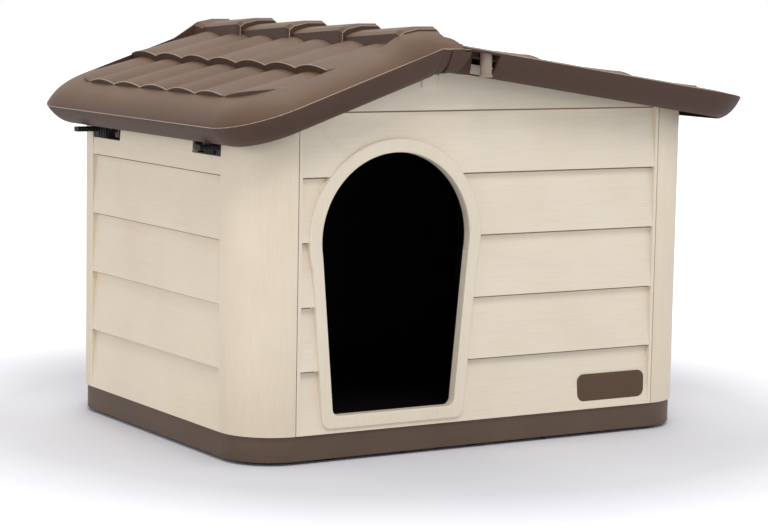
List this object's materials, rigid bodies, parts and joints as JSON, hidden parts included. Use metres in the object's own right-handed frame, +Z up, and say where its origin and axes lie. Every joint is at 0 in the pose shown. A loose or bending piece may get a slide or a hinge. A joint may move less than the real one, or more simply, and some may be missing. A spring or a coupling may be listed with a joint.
{
  "type": "dog house",
  "caption": "plastic dog house with clapboard walls, an arched doorway and a tiled roof in two hinged halves that lock with sliding latches",
  "frame": {"origin": "on the ground under the middle of the whole outline", "axes": "X runs along the front from the low eave on the left to the high eave on the right, Y from the doorway to the back, Z up"},
  "size_m": [0.5976, 0.4678, 0.4056],
  "materials": {
    "wall_plastic": "satin cream moulded plastic with fine wood grain",
    "roof_plastic": "matte taupe brown moulded plastic",
    "base_plastic": "matte dark brown moulded plastic",
    "latch_plastic": "black moulded plastic",
    "steel": "zinc plated steel"
  },
  "bodies": {
    "cabin": {"base_tray": "base_plastic", "left_wall": "wall_plastic", "right_wall": "wall_plastic", "front_panel": "wall_plastic", "rear_panel": "wall_plastic", "name_plate": "base_plastic", "hinge_pin_front": "steel", "hinge_pin_rear": "steel", "wall_screws_front_left": "steel", "wall_screws_front_right": "steel", "wall_screws_rear_left": "steel", "wall_screws_rear_right": "steel", "base_screws": "steel"},
    "left_half": {"roof_left": "roof_plastic", "catch_front_left": "roof_plastic", "catch_rear_left": "roof_plastic"},
    "right_half": {"roof_right": "roof_plastic", "ridge_pin_front": "roof_plastic", "ridge_pin_rear": "roof_plastic", "catch_front_right": "roof_plastic", "catch_rear_right": "roof_plastic"},
    "slide_front_left": {"latch_front_left": "latch_plastic"},
    "slide_rear_left": {"latch_rear_left": "latch_plastic"},
    "slide_front_right": {"latch_front_right": "latch_plastic"},
    "slide_rear_right": {"latch_rear_right": "latch_plastic"}
  },
  "joints": [
    {"name": "open_left_roof", "type": "hinge", "parent": "cabin", "child": "left_half", "pos_m": [-0.0774, 0, 0.3834], "axis": [0, 1, 0], "range_deg": [0, 40]},
    {"name": "open_right_roof", "type": "hinge", "parent": "cabin", "child": "right_half", "pos_m": [-0.0774, 0, 0.3834], "axis": [0, 1, 0], "range_deg": [-40, 0]},
    {"name": "lock_front_left", "type": "slide", "parent": "cabin", "child": "slide_front_left", "axis": [0, 1, 0], "range_m": [0, 0.014]},
    {"name": "lock_rear_left", "type": "slide", "parent": "cabin", "child": "slide_rear_left", "axis": [0, -1, 0], "range_m": [0, 0.014]},
    {"name": "lock_front_right", "type": "slide", "parent": "cabin", "child": "slide_front_right", "axis": [0, 1, 0], "range_m": [0, 0.014]},
    {"name": "lock_rear_right", "type": "slide", "parent": "cabin", "child": "slide_rear_right", "axis": [0, -1, 0], "range_m": [0, 0.014]}
  ]
}
